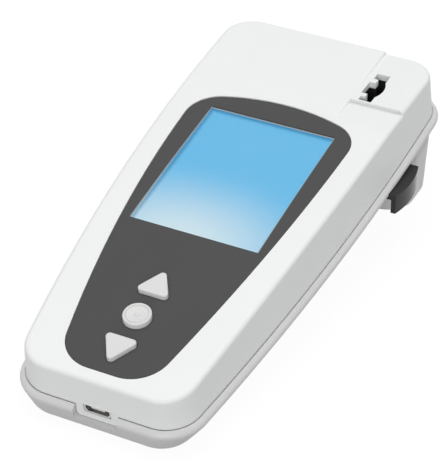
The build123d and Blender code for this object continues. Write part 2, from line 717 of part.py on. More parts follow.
def display_place():
    """Case-frame place of the middle of the display's upper face."""
    return Pos(0, 0, SCREEN_HEIGHT - DISPLAY_DROP) * Rot(PANEL_SLOPE, 0, 0)


def display_module():
    """Colour display with its backlight."""
    body = Pos(0, 0, -DISPLAY_THICK / 2) * Box(DISPLAY_WIDTH, DISPLAY_LENGTH, DISPLAY_THICK)
    return CASE * display_place() * body


def display_frame():
    """Tray that carries the display and stands on the main board on four legs."""
    inner = (DISPLAY_WIDTH + 2 * DISPLAY_GAP, DISPLAY_LENGTH + 2 * DISPLAY_GAP)
    outer = (inner[0] + 2 * FRAME_WALL, inner[1] + 2 * FRAME_WALL)
    height = DISPLAY_THICK + FRAME_FLOOR
    tray = Pos(0, 0, -height / 2) * Box(outer[0], outer[1], height)
    tray -= Pos(0, 0, -DISPLAY_THICK / 2) * Box(inner[0], inner[1], DISPLAY_THICK)
    tray = (display_place() * tray) & below_arch(WALL + DISPLAY_GAP)
    leg_x = outer[0] / 2 - FRAME_WALL - SMALL_SCREW_R * 2
    leg_y = outer[1] / 2 - FRAME_WALL - SMALL_SCREW_R * 2
    top = SCREEN_HEIGHT - DISPLAY_DROP - DISPLAY_THICK - FRAME_FLOOR
    for x in (-leg_x, leg_x):
        for y in (-leg_y, leg_y):
            lift = math.tan(math.radians(PANEL_SLOPE)) * y
            tray += rod(x, y, BOARD_TOP, SMALL_SCREW_R * 2, top + lift + FRAME_FLOOR / 2 - BOARD_TOP)
    return CASE * tray


def switch_top():
    return BOARD_TOP + SWITCH_HEIGHT + SWITCH_BUTTON_HEIGHT


def key(which):
    """One key: a cap through the panel, a flange under the shell and a stem over its switch."""
    proud = KEY_PROUD - PANEL_RECESS
    cap = extrude(key_outline(which), amount=TALL) & arch_layer(-proud, WALL + KEY_GAP)
    cap = fillet(top_face(cap).edges(), KEY_EDGE_R)
    y = -KEY_MIDDLE + which * KEY_PITCH
    if which == 0:
        top = arch(y, -proud)
        cap -= Pos(0, y, top - KEY_DISH_DEPTH + KEY_DISH_R) * Sphere(KEY_DISH_R)
    flange_top = WALL + KEY_GAP / 2
    flange = extrude(key_outline(which, KEY_FLANGE), amount=TALL)
    flange &= arch_layer(flange_top, flange_top + KEY_FLANGE_THICK)
    low = switch_top() + KEY_TRAVEL + KEY_TRAVEL_SPARE
    stem = rod(0, y, low, KEY_STEM_R, arch(y, flange_top + KEY_FLANGE_THICK / 2) - low)
    return CASE * (cap + flange + stem)


def key_switches():
    """Three push switches on the main board, one under each key."""
    switches = []
    for which in (1, 0, -1):
        y = -KEY_MIDDLE + which * KEY_PITCH
        switch = Pos(0, y, BOARD_TOP + SWITCH_HEIGHT / 2) * Box(SWITCH_SIDE, SWITCH_SIDE, SWITCH_HEIGHT)
        switch += rod(0, y, BOARD_TOP + SWITCH_HEIGHT, SWITCH_BUTTON_R, SWITCH_BUTTON_HEIGHT)
        switches.append(CASE * switch)
    return Compound(children=switches)


def main_board():
    """Main circuit board, hung from bosses in the upper shell."""
    area = box_between((-FAR, -BOARD_FRONT, 0), (FAR, BOARD_REAR, TALL))
    body = extrude(case_outline(-BOARD_INSET), amount=BOARD_THICK) & area
    body = Pos(0, 0, BOARD_TOP - BOARD_THICK) * body
    for x, y in board_screw_places():
        body -= rod(x, y, 0, SMALL_SCREW_R + SCREW_FIT, TALL)
    return CASE * body


def processor_shield():
    """Shield can on the board's underside."""
    z = BOARD_TOP - BOARD_THICK
    return CASE * box_between((-SHIELD_WIDTH, 0, z - SHIELD_HEIGHT), (0, SHIELD_LENGTH, z))


def buzzer():
    """Round sounder on the board's underside."""
    z = BOARD_TOP - BOARD_THICK - BUZZER_HEIGHT
    body = rod(BUZZER_R * 2, BUZZER_R * 2, z, BUZZER_R, BUZZER_HEIGHT)
    return CASE * (body - rod(BUZZER_R * 2, BUZZER_R * 2, z, SMALL_SCREW_R, SMALL_SCREW_R))


def battery():
    """Flat rechargeable cell on the lower shell's floor."""
    low = -LOWER_DEPTH + WALL
    body = box_between(
        (-BATTERY_WIDTH / 2, -BATTERY_FRONT, low),
        (BATTERY_WIDTH / 2, -BATTERY_FRONT + BATTERY_LENGTH, low + BATTERY_THICK))
    return CASE * fillet(body.edges().filter_by(Axis.Y), BATTERY_EDGE_R)


def usb_board():
    """Small board that carries the charging socket."""
    y, _ = usb_middle()
    top = usb_board_top()
    front = y + USB_DEPTH / 3
    body = box_between(
        (-USB_BOARD_WIDTH / 2, front, top - USB_BOARD_THICK),
        (USB_BOARD_WIDTH / 2, front + USB_BOARD_LENGTH, top))
    for x in (-USB_SCREW_X, USB_SCREW_X):
        body -= rod(x, -USB_SCREW_Y, -TALL, SMALL_SCREW_R + SCREW_FIT, 2 * TALL)
    body &= extrude(case_outline(-WALL - LIP_GAP - LIP_THICK - LIP_GAP), amount=TALL, both=True)
    return CASE * body


def usb_socket():
    """Metal skin of the charging socket."""
    y, z = usb_middle()
    outer = Box(USB_WIDTH, USB_DEPTH, USB_HEIGHT)
    outer = chamfer(outer.edges().filter_by(Axis.Y).group_by(Axis.Z)[0], USB_HEIGHT / 4)
    inner = Box(USB_WIDTH - 2 * USB_SKIN, USB_DEPTH - USB_SKIN, USB_HEIGHT - 2 * USB_SKIN)
    inner = chamfer(inner.edges().filter_by(Axis.Y).group_by(Axis.Z)[0], USB_HEIGHT / 4)
    body = outer - Pos(0, -USB_SKIN / 2, 0) * inner
    return CASE * Pos(0, y + USB_DEPTH / 2, z) * body


def usb_tongue():
    """Plastic tongue inside the socket."""
    y, z = usb_middle()
    length = USB_DEPTH - USB_SKIN - USB_TONGUE_SHORT
    middle = y + USB_TONGUE_SHORT + length / 2
    return CASE * Pos(0, middle, z + USB_HEIGHT / 8) * Box(USB_TONGUE_WIDTH, length, USB_TONGUE_THICK)


def sensor_guide():
    """Black chute under the slot, with a floor, two screw tabs and a sight hole from side to side."""
    left = SLOT_X - SLOT_KEY_LEFT - GUIDE_WALL
    right = SLOT_X + SLOT_BULGE + GUIDE_WALL
    front, rear = SLOT_Y - SLOT_FRONT - GUIDE_WALL, SLOT_Y + SLOT_REAR + GUIDE_WALL
    body = box_between((left, front, GUIDE_FLOOR), (right, rear, 2 * TALL))
    body &= CASE * (below_deck(DECK_WALL + GUIDE_GAP) & below_arch(WALL + GUIDE_GAP))
    floor_top = GUIDE_FLOOR + GUIDE_FLOOR_THICK
    body -= slot_prism(GUIDE_GROW, floor_top, 2 * TALL)
    for (x, y), inner in zip(guide_posts(), (left, right)):
        low, high = sorted((inner, x + math.copysign(SMALL_BOSS_R, x - inner)))
        body += box_between((low, y - GUIDE_POST_R, GUIDE_FLOOR), (high, y + GUIDE_POST_R, floor_top))
        body -= rod(x, y, GUIDE_FLOOR, SMALL_SCREW_R + SCREW_FIT, GUIDE_FLOOR_THICK)
    sight = Cylinder(LIGHT_R + LIGHT_FIT, FAR)
    body -= Pos(SLOT_X, SLOT_Y, LIGHT_HEIGHT) * Rot(0, 90, 0) * sight
    return body - plunger_block(PLUNGER_GAP, GUIDE_FLOOR, floor_top)


def plunger_block(grow, low, high):
    """A block round the plunger's middle between two heights."""
    x, y = PLUNGER_WIDTH / 2 + grow, PLUNGER_LENGTH / 2 + grow
    return box_between((SLOT_X - x, SLOT_Y - y, low), (SLOT_X + x, SLOT_Y + y, high))


def eject_plunger():
    """Blade that lifts a used sensor out of the chute."""
    radius = PLUNGER_WIDTH / 2
    low = LEVER_TOP + LEVER_SEAT + radius
    blade = plunger_block(0, low, GUIDE_FLOOR + GUIDE_FLOOR_THICK - PLUNGER_GAP)
    toe = Pos(SLOT_X, SLOT_Y, low) * Rot(90, 0, 0) * Cylinder(radius, PLUNGER_LENGTH)
    return blade + toe


def optics_board(face, outward):
    """A small upright board on one side of the guide; outward is -1 on the left, 1 on the right."""
    low, high = sorted((face, face + outward * OPTICS_BOARD_THICK))
    half = OPTICS_BOARD_WIDTH / 2
    return box_between(
        (low, SLOT_Y - half, LIGHT_HEIGHT - OPTICS_BOARD_HEIGHT / 2),
        (high, SLOT_Y + half, LIGHT_HEIGHT + OPTICS_BOARD_HEIGHT / 2))


def light_board():
    """Board of the light source, on the guide's left side."""
    return optics_board(SLOT_X - SLOT_KEY_LEFT - GUIDE_WALL, -1)


def camera_board():
    """Board of the camera, on the guide's right side."""
    return optics_board(SLOT_X + SLOT_BULGE + GUIDE_WALL, 1)


def lens():
    return Rot(0, 90, 0) * Cylinder(LIGHT_R, LENS_DEPTH)


def light_source():
    """Round lamp in the guide's left wall."""
    face = SLOT_X - SLOT_KEY_LEFT - GUIDE_WALL
    return Pos(face + LENS_DEPTH / 2, SLOT_Y, LIGHT_HEIGHT) * lens()


def camera_lens():
    """Round lens in the guide's right wall."""
    face = SLOT_X + SLOT_BULGE + GUIDE_WALL
    return Pos(face - LENS_DEPTH / 2, SLOT_Y, LIGHT_HEIGHT) * lens()


def heater_plate():
    """Metal plate on the guide's rear wall that keeps the sample warm."""
    face = SLOT_Y + SLOT_REAR + GUIDE_WALL
    low = GUIDE_FLOOR + GUIDE_FLOOR_THICK
    return box_between(
        (SLOT_X - SLOT_KEY_LEFT - GUIDE_WALL, face, low),
        (SLOT_X - SLOT_KEY_LEFT - GUIDE_WALL + HEATER_WIDTH, face + HEATER_THICK, low + HEATER_HEIGHT))


def lever_plan():
    """Plan of the lever's plate: the outer pad, the neck over the hub and the inner arm."""
    front, rear = lever_span()
    middle = (front + rear) / 2
    pad = make_face([
        ThreePointArc((LEVER_OUT, front), (LEVER_OUT + LEVER_BULGE, middle), (LEVER_OUT, rear)),
        Polyline((LEVER_OUT, rear), (LEVER_INNER, rear), (LEVER_INNER, front), (LEVER_OUT, front))])
    hub_front, hub_rear = hub_span()
    arm_left, arm_right = SLOT_X - LEVER_ARM_WIDTH / 2, SLOT_X + LEVER_ARM_WIDTH / 2
    arm_rear = SLOT_Y + PLUNGER_LENGTH / 2 + LEVER_ARM_PAST
    inner = make_face(Polyline(
        (LEVER_INNER, hub_front), (LEVER_INNER, hub_rear), (arm_right, hub_rear), (arm_right, arm_rear),
        (arm_left, arm_rear), (arm_left, hub_front), close=True))
    return pad + inner


def lever_web():
    """The curved finger face that hangs from the plate's outer edge."""
    front, rear = lever_span()
    middle = (front + rear) / 2
    face = make_face([
        ThreePointArc((LEVER_OUT, front), (LEVER_OUT + LEVER_BULGE, middle), (LEVER_OUT, rear)),
        Line((LEVER_OUT, rear), (LEVER_OUT - LEVER_WEB, rear)),
        ThreePointArc(
            (LEVER_OUT - LEVER_WEB, rear), (LEVER_OUT - LEVER_WEB + LEVER_BULGE, middle),
            (LEVER_OUT - LEVER_WEB, front)),
        Line((LEVER_OUT - LEVER_WEB, front), (LEVER_OUT, front))])
    return Pos(0, 0, LEVER_TOP - LEVER_WEB_DROP) * extrude(face, amount=LEVER_WEB_DROP)


def eject_lever():
    """Black lever: press its outer pad down and its inner arm lifts the plunger."""
    body = Pos(0, 0, LEVER_TOP - LEVER_PLATE) * extrude(lever_plan(), amount=LEVER_PLATE)
    body += lever_web()
    front, rear = hub_span()
    hub = Rot(90, 0, 0) * Cylinder(LEVER_HUB_R, LEVER_HUB_LENGTH)
    body += Pos(LEVER_PIVOT_X, (front + rear) / 2, pivot_height()) * hub
    return body - lever_pin_solid(PIN_FIT)


def lever_spring():
    """Coil spring on the pin that returns the lever."""
    rear = hub_span()[1] + LUG_SIDE_GAP
    coil = Cylinder(SPRING_R, SPRING_LENGTH) - Cylinder(SPRING_R - SPRING_WIRE, SPRING_LENGTH)
    return Pos(LEVER_PIVOT_X, rear + SPRING_LENGTH / 2, pivot_height()) * Rot(90, 0, 0) * coil


def screw(x, y, seat, grip, radius, head_r, head_height):
    """A screw that points up, its head's top on seat; the drive socket opens downwards."""
    body = rod(x, y, seat - head_height, head_r, head_height) + rod(x, y, seat, radius, grip)
    return body - rod(x, y, seat - head_height, DRIVE_R, DRIVE_DEPTH)


def casing_screws():
    """Six screws that hold the shells together."""
    seat = -SEAT_THICK
    grip = SEAT_THICK + CASE_SCREW_GRIP - HEAD_ROOM
    sizes = (SCREW_R, SCREW_HEAD_R, SCREW_HEAD_HEIGHT)
    screws = [CASE * screw(x, y, seat, grip, *sizes) for x, y in boss_places()]
    grip = REAR_BOSS_TOP - REAR_SEAT + CASE_SCREW_GRIP - HEAD_ROOM
    screws += [screw(x, y, REAR_SEAT, grip, *sizes) for x, y in rear_screw_places()]
    return Compound(children=screws)


def board_screws():
    """Four screws that hold the main board to the upper shell."""
    seat = BOARD_TOP - BOARD_THICK
    grip = BOARD_THICK + SMALL_SCREW_GRIP - HEAD_ROOM
    sizes = (SMALL_SCREW_R, SMALL_HEAD_R, SMALL_HEAD_HEIGHT)
    return Compound(children=[CASE * screw(x, y, seat, grip, *sizes) for x, y in board_screw_places()])


def turned_screw(x, y, seat, grip):
    """A small screw that points down, its head on seat."""
    body = rod(x, y, seat, SMALL_HEAD_R, SMALL_HEAD_HEIGHT) + rod(x, y, seat - grip, SMALL_SCREW_R, grip)
    return body - rod(x, y, seat + SMALL_HEAD_HEIGHT - DRIVE_DEPTH, DRIVE_R, DRIVE_DEPTH)


def usb_screws():
    """Two screws that hold the socket's board to its posts."""
    post = usb_board_top() - USB_BOARD_THICK + LOWER_DEPTH - WALL
    grip = USB_BOARD_THICK + post - HEAD_ROOM
    return Compound(children=[
        CASE * turned_screw(x, -USB_SCREW_Y, usb_board_top(), grip) for x in (-USB_SCREW_X, USB_SCREW_X)])


def guide_screws():
    """Two screws that hold the sensor guide to its posts."""
    grip = GUIDE_FLOOR_THICK + SMALL_SCREW_GRIP - HEAD_ROOM
    return Compound(children=[
        turned_screw(x, y, GUIDE_FLOOR + GUIDE_FLOOR_THICK, grip) for x, y in guide_posts()])


def rear_foot():
    """Rubber strip in the foot block's underside."""
    half = (REAR_FOOT_LENGTH / 2, REAR_FOOT_WIDTH / 2)
    body = box_between((-half[0], -half[1], 0), (half[0], half[1], FOOT_PROUD + FOOT_SUNK))
    return fillet(body.edges().filter_by(Axis.Z), REAR_FOOT_WIDTH / 4)


def front_feet():
    """Two rubber pads under the front end, cut level with the table."""
    table = box_between((-FAR, -3 * CASE_FRONT, -TALL), (FAR, CASE_REAR, 0))
    top = FOOT_SUNK - LOWER_DEPTH
    places = (-FRONT_FOOT_X, FRONT_FOOT_X)
    pads = [CASE * rod(x, -FRONT_FOOT_Y, -TALL, FRONT_FOOT_R, TALL + top) - table for x in places]
    return Compound(children=[solid for pad in pads for solid in pad.solids()])


PIECES = {
    "upper_shell": upper_shell,
    "lower_shell": lower_shell,
    "front_panel": front_panel,
    "screen_window": screen_window,
    "display_module": display_module,
    "display_frame": display_frame,
    "up_key": lambda: key(1),
    "select_key": lambda: key(0),
    "down_key": lambda: key(-1),
    "key_switches": key_switches,
    "main_board": main_board,
    "processor_shield": processor_shield,
    "buzzer": buzzer,
    "battery": battery,
    "usb_board": usb_board,
    "usb_socket": usb_socket,
    "usb_tongue": usb_tongue,
    "sensor_guide": sensor_guide,
    "light_board": light_board,
    "light_source": light_source,
    "camera_board": camera_board,
    "camera_lens": camera_lens,
    "heater_plate": heater_plate,
    "eject_lever": eject_lever,
    "eject_plunger": eject_plunger,
    "lever_pin": lever_pin_solid,
    "lever_spring": lever_spring,
    "casing_screws": casing_screws,
    "board_screws": board_screws,
    "usb_screws": usb_screws,
    "guide_screws": guide_screws,
    "rear_foot": rear_foot,
    "front_feet": front_feet,
}

for name, make in PIECES.items():
    piece = make()
    export_step(piece, f"parts/{name}.step")
    box = piece.bounding_box()
    print(name, len(piece.solids()), [round(v, 2) for v in (*box.min, *box.max)])
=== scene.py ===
import functools
import math

import bmesh
import bpy
from mathutils import Matrix, Vector


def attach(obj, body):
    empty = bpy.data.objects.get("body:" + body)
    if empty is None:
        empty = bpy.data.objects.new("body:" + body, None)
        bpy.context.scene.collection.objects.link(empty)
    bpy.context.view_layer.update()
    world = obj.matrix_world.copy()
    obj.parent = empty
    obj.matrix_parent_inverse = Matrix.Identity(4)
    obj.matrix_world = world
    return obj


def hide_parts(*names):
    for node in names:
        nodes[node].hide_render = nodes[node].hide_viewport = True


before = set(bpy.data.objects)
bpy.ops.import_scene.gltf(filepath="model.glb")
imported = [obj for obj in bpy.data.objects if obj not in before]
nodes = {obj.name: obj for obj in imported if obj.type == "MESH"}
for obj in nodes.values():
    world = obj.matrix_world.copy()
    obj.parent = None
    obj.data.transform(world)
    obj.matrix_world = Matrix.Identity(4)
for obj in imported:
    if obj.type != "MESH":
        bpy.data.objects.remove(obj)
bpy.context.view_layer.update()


# The camera stands to the right of the front end and above it, half a metre from the screen, and
# has a long lens.
bpy.ops.object.select_all(action="DESELECT")
bpy.ops.object.camera_add()
camera = bpy.context.object
camera.name = "camera"
right = Vector((0.897, 0.442, 0.0)).normalized()
back = Vector((0.3614, -0.7335, 0.5757)).normalized()
up = back.cross(right)
turn = Matrix((right, up, back)).transposed().to_4x4()
camera.matrix_world = Matrix.Translation((0.1915, -0.4541, 0.3239)) @ turn
camera.data.sensor_fit = "VERTICAL"
camera.data.sensor_height = 24.0
camera.data.lens = 100.8
camera.data.clip_start = 0.01
camera.data.clip_end = 20.0
bpy.context.scene.camera = camera
bpy.context.scene.view_settings.view_transform = "Standard"


# The table is one white sheet that runs out to the horizon. It looks white to the camera, with
# only a faint soft shadow close round the feet, and throws little light back up.

def add_node(tree, kind, **settings):
    """Adds a node with its settings to a tree."""
    node = tree.nodes.new(kind)
    for name, value in settings.items():
        setattr(node, name, value)
    return node


def nodes_of(material):
    """The links of a material's tree, its Principled shader, and a shorthand that adds nodes."""
    material.use_nodes = True
    tree = material.node_tree
    return tree.links.new, tree.nodes["Principled BSDF"], functools.partial(add_node, tree)


def combined(tree, operation, values):
    """One value from several, taken together two at a time by a Math node's operation."""
    result = values[0]
    for value in values[1:]:
        both = add_node(tree, "ShaderNodeMath", operation=operation)
        tree.links.new(result, both.inputs[0])
        tree.links.new(value, both.inputs[1])
        result = both.outputs[0]
    return result


def seen_directly(tree):
    """A value that is 1 for what the camera sees, straight, in a reflection or through glass."""
    rays = tree.nodes.new("ShaderNodeLightPath")
    kinds = ("Is Camera Ray", "Is Glossy Ray", "Is Transmission Ray")
    return combined(tree, "MAXIMUM", [rays.outputs[kind] for kind in kinds])


bounce_tone = (0.28, 0.28, 0.28, 1)
seen_tone = (0.95, 0.95, 0.95, 1)
glow_share, glow_strength = 0.93, 1.02
bpy.ops.object.select_all(action="DESELECT")
bpy.ops.mesh.primitive_plane_add(size=6.0, location=(0, 0, 0))
table = bpy.context.object
table.name = "table"

sheet = bpy.data.materials.new("white sheet")
link, shader, add = nodes_of(sheet)
direct = seen_directly(sheet.node_tree)
shade = add("ShaderNodeMix", data_type="RGBA")
shade.inputs["A"].default_value = bounce_tone
shade.inputs["B"].default_value = seen_tone
shader.inputs["Roughness"].default_value = 0.9
shader.inputs["Specular IOR Level"].default_value = 0.0
glow = add("ShaderNodeEmission")
glow.inputs["Strength"].default_value = glow_strength
share = add("ShaderNodeMath", operation="MULTIPLY")
share.inputs[1].default_value = glow_share
blend = add("ShaderNodeMixShader")
link(direct, shade.inputs["Factor"])
link(shade.outputs["Result"], shader.inputs["Base Color"])
link(direct, share.inputs[0])
link(share.outputs[0], blend.inputs["Fac"])
link(shader.outputs[0], blend.inputs[1])
link(glow.outputs[0], blend.inputs[2])
link(blend.outputs[0], sheet.node_tree.nodes["Material Output"].inputs["Surface"])
table.data.materials.append(sheet)


# The room is white to the camera and lights the object half as brightly. The rest of the light
# comes from a soft box overhead, a broad lamp in front and a weak one on the right.
room = bpy.data.worlds.new("room")
bpy.context.scene.world = room
room.use_nodes = True
tree = room.node_tree
base = tree.nodes["Background"]
base.inputs["Color"].default_value = (1, 1, 1, 1)
base.inputs["Strength"].default_value = 0.5
white = tree.nodes.new("ShaderNodeBackground")
white.inputs["Strength"].default_value = 1.0
blend = tree.nodes.new("ShaderNodeMixShader")
tree.links.new(seen_directly(tree), blend.inputs["Fac"])
tree.links.new(base.outputs[0], blend.inputs[1])
tree.links.new(white.outputs[0], blend.inputs[2])
tree.links.new(blend.outputs[0], tree.nodes["World Output"].inputs["Surface"])


def soft_box(name, place, aim, size, power):
    """A square area lamp at place that looks at aim."""
    bpy.ops.object.select_all(action="DESELECT")
    bpy.ops.object.light_add(type="AREA", location=place)
    lamp = bpy.context.object
    lamp.name = name
    lamp.data.size = size
    lamp.data.energy = power
    lamp.rotation_euler = (Vector(aim) - Vector(place)).to_track_quat("-Z", "Y").to_euler()


soft_box("overhead soft box", place=(-0.1, 0.10, 1.1), aim=(0, -0.06, 0), size=0.9, power=4.9)
soft_box("front lamp", place=(0.46, -1.80, 0.42), aim=(0, -0.06, 0.02), size=0.9, power=10.8)
soft_box("side lamp", place=(0.80, 0.62, 0.36), aim=(0, -0.04, 0.02), size=0.5, power=1.1)


# Every moulded plastic has the fine grain of its tool's spark-eroded wall. The group gives that
# grain as a height, a slow drift in tone as a mask, and the roughness that goes with both.
grain = bpy.data.node_groups.new("moulded grain", "ShaderNodeTree")
for name, value in (
        ("Grain Scale", 9000.0), ("Drift Scale", 60.0), ("Rough Low", 0.4), ("Rough High", 0.5)):
    socket = grain.interface.new_socket(name=name, in_out="INPUT", socket_type="NodeSocketFloat")
    socket.default_value = value
for name in ("Height", "Drift", "Roughness"):
    grain.interface.new_socket(name=name, in_out="OUTPUT", socket_type="NodeSocketFloat")
way_in = grain.nodes.new("NodeGroupInput")
way_out = grain.nodes.new("NodeGroupOutput")
place = grain.nodes.new("ShaderNodeTexCoord")
fine = grain.nodes.new("ShaderNodeTexNoise")
fine.inputs["Detail"].default_value = 2.0
slow = grain.nodes.new("ShaderNodeTexNoise")
slow.inputs["Detail"].default_value = 3.0
spread = grain.nodes.new("ShaderNodeMapRange")
link = grain.links.new
link(place.outputs["Object"], fine.inputs["Vector"])
link(place.outputs["Object"], slow.inputs["Vector"])
link(way_in.outputs["Grain Scale"], fine.inputs["Scale"])
link(way_in.outputs["Drift Scale"], slow.inputs["Scale"])
link(fine.outputs["Fac"], spread.inputs["Value"])
link(way_in.outputs["Rough Low"], spread.inputs["To Min"])
link(way_in.outputs["Rough High"], spread.inputs["To Max"])
link(fine.outputs["Fac"], way_out.inputs["Height"])
link(slow.outputs["Fac"], way_out.inputs["Drift"])
link(spread.outputs["Result"], way_out.inputs["Roughness"])


def moulded(
        name, light, dark, rough=(0.4, 0.5), grain_scale=9000.0, depth=0.000006, specular=0.5):
    """A moulded plastic whose tone drifts between two colours and whose skin has a fine grain."""
    material = bpy.data.materials.new(name)
    link, shader, add = nodes_of(material)
    skin = add("ShaderNodeGroup", node_tree=grain)
    skin.inputs["Grain Scale"].default_value = grain_scale
    skin.inputs["Rough Low"].default_value = rough[0]
    skin.inputs["Rough High"].default_value = rough[1]
    tone = add("ShaderNodeMix", data_type="RGBA")
    tone.inputs["A"].default_value = (*dark, 1)
    tone.inputs["B"].default_value = (*light, 1)
    bump = add("ShaderNodeBump")
    bump.inputs["Strength"].default_value = 0.6
    bump.inputs["Distance"].default_value = depth
    link(skin.outputs["Drift"], tone.inputs["Factor"])
    link(tone.outputs["Result"], shader.inputs["Base Color"])
    link(skin.outputs["Roughness"], shader.inputs["Roughness"])
    link(skin.outputs["Height"], bump.inputs["Height"])
    link(bump.outputs["Normal"], shader.inputs["Normal"])
    shader.inputs["Specular IOR Level"].default_value = specular
    return material


def paint(material, *names):
    """Puts one material on carried-over pieces."""
    for name in names:
        mesh = nodes[name].data
        mesh.materials.clear()
        mesh.materials.append(material)


# The two shells are injection-moulded in white plastic with a fine satin skin.
# They meet in a thin dark seam and are screwed together from below.
upper_white = moulded("white shell plastic", (0.92, 0.93, 0.93), (0.89, 0.90, 0.90))
paint(upper_white, "upper_shell")
lower_white = moulded("grey-white shell plastic", (0.755, 0.755, 0.755), (0.725, 0.725, 0.725))
paint(lower_white, "lower_shell")


# A soft grey shade is painted into the corner of the step before the deck, where shade falls: full
# on the step's face, and fading out over the ramp ahead of it. The reach along the case is measured
# in the seam's plane.

def reach_along(tree, direction):
    """How far a point of the piece lies along a direction, from the origin."""
    place = tree.nodes.new("ShaderNodeTexCoord")
    reach = add_node(tree, "ShaderNodeVectorMath", operation="DOT_PRODUCT")
    reach.inputs[1].default_value = direction
    tree.links.new(place.outputs["Object"], reach.inputs[0])
    return reach.outputs["Value"]


def faded(tree, value, start, end, first=0.0, last=1.0):
    """Goes softly from first to last while a value goes from start to end."""
    fade = add_node(tree, "ShaderNodeMapRange", interpolation_type="SMOOTHSTEP")
    for name, limit in (
            ("From Min", start), ("From Max", end), ("To Min", first), ("To Max", last)):
        fade.inputs[name].default_value = limit
    tree.links.new(value, fade.inputs["Value"])
    return fade.outputs["Result"]


def darken(material, mask, share):
    """Takes a material's colour down to a share of itself where the mask is 1."""
    link, shader, add = nodes_of(material)
    darker = add("ShaderNodeMix", data_type="RGBA", blend_type="MULTIPLY")
    darker.inputs["B"].default_value = (share, share, share, 1)
    link(mask, darker.inputs["Factor"])
    link(shader.inputs["Base Color"].links[0].from_socket, darker.inputs["A"])
    link(darker.outputs["Result"], shader.inputs["Base Color"])


casing_lean = math.radians(6.75)
step_reach = -0.01093
step_left, step_right = 0.0158, 0.0322
ramp_fade = 0.0015
step_tree = upper_white.node_tree
along_case = reach_along(step_tree, (0, math.cos(casing_lean), math.sin(casing_lean)))
across_case = reach_along(step_tree, (1, 0, 0))
# The mask of the shade painted into the step's corner.
painted_step_shade = combined(step_tree, "MULTIPLY", [
    faded(step_tree, along_case, step_reach - ramp_fade, step_reach - 0.0001),
    faded(step_tree, along_case, step_reach + 0.0001, step_reach + 0.0002, 1.0, 0.0),
    faded(step_tree, across_case, step_left, step_left + 0.0005),
    faded(step_tree, across_case, step_right - 0.0008, step_right, 1.0, 0.0)])
darken(upper_white, painted_step_shade, share=0.82)


# Painted shade darkens the lower shell's colour down its belly, from the rim to the underside,
# where it turns down away from the light. The foot block below it has the full tone again. The
# depth is measured square to the seam.
seam_level = 0.02415
rim_depth, belly_depth = 0.0008, 0.0031
underside_depth, block_depth = 0.0078, 0.0086
belly_tree = lower_white.node_tree
seam_height = reach_along(belly_tree, (0, -math.sin(casing_lean), math.cos(casing_lean)))
# The mask of the shade painted down the belly.
painted_belly_shade = combined(belly_tree, "MULTIPLY", [
    faded(belly_tree, seam_height, seam_level - rim_depth, seam_level - belly_depth),
    faded(
        belly_tree, seam_height, seam_level - underside_depth, seam_level - block_depth, 1.0, 0.0)])
darken(lower_white, painted_belly_shade, share=0.85)


# The inset panel is a moulded plate under a dark grey film with a very fine even grain. It lies in
# a recess of the upper shell and holds the screen's window and the keys.
panel_film = moulded(
    "dark panel film", (0.069, 0.069, 0.069), (0.063, 0.063, 0.064), rough=(0.5, 0.6),
    grain_scale=14000.0, depth=0.000003, specular=0.25)
paint(panel_film, "front_panel")


# The display glows pale blue, with a wash of white light that rises from the middle of its lower
# edge. Painted shade dims it a little towards its border, where the wall of the window's opening
# shades it.
# It is a sealed panel in a black tray.
screen_middle = (0.0, -0.05749)
screen_half = (0.019, 0.02494)
dim_inside, dim_outside = 0.0012, 0.0002
picture = bpy.data.materials.new("lit display")
link, shader, add = nodes_of(picture)
place = add("ShaderNodeTexCoord")
centre = add("ShaderNodeMapping")
centre.inputs["Scale"].default_value = (21.0, 30.0, 0.0)
centre.inputs["Location"].default_value = (0.07, 2.58, 0.0)
wash = add("ShaderNodeTexGradient", gradient_type="SPHERICAL")
wash_tone = add("ShaderNodeValToRGB")
wash_tone.color_ramp.interpolation = "EASE"
wash_tone.color_ramp.elements[0].position = 0.0
wash_tone.color_ramp.elements[0].color = (0.085, 0.45, 0.765, 1)
wash_tone.color_ramp.elements[1].position = 1.0
wash_tone.color_ramp.elements[1].color = (0.60, 0.745, 0.80, 1)
link(place.outputs["Object"], centre.inputs["Vector"])
link(centre.outputs["Vector"], wash.inputs["Vector"])
link(wash.outputs["Fac"], wash_tone.inputs["Fac"])
borders = []
for direction, middle, half in zip(((1, 0, 0), (0, 1, 0)), screen_middle, screen_half):
    off = add("ShaderNodeMath", operation="SUBTRACT")
    off.inputs[1].default_value = middle
    size = add("ShaderNodeMath", operation="ABSOLUTE")
    link(reach_along(picture.node_tree, direction), off.inputs[0])
    link(off.outputs[0], size.inputs[0])
    borders.append(faded(
        picture.node_tree, size.outputs[0], half - dim_inside, half + dim_outside))
# Painted shade along the display's border, under the wall of the opening.
painted_border_shade = add("ShaderNodeMix", data_type="RGBA", blend_type="MULTIPLY")
painted_border_shade.inputs["B"].default_value = (0.50, 0.60, 0.66, 1)
link(combined(picture.node_tree, "MAXIMUM", borders), painted_border_shade.inputs["Factor"])
link(wash_tone.outputs["Color"], painted_border_shade.inputs["A"])
link(painted_border_shade.outputs["Result"], shader.inputs["Emission Color"])
shader.inputs["Base Color"].default_value = (0.02, 0.02, 0.02, 1)
shader.inputs["Emission Strength"].default_value = 1.0
shader.inputs["Roughness"].default_value = 0.4
shader.inputs["Specular IOR Level"].default_value = 0.2
paint(picture, "display_module")


# The window over the screen is a clear sheet with a faint haze, set in the panel's opening. The
# lamp in the chute's left wall and the lens in its right wall are of the same clear material.
glass = bpy.data.materials.new("clear window")
link, shader, add = nodes_of(glass)
shader.inputs["Base Color"].default_value = (1, 1, 1, 1)
shader.inputs["Transmission Weight"].default_value = 1.0
shader.inputs["IOR"].default_value = 1.3
haze = add("ShaderNodeTexNoise")
haze.inputs["Scale"].default_value = 90.0
spread = add("ShaderNodeMapRange")
spread.inputs["To Min"].default_value = 0.03
spread.inputs["To Max"].default_value = 0.045
place = add("ShaderNodeTexCoord")
link(place.outputs["Object"], haze.inputs["Vector"])
link(haze.outputs["Fac"], spread.inputs["Value"])
link(spread.outputs["Result"], shader.inputs["Roughness"])
paint(glass, "screen_window", "light_source", "camera_lens")


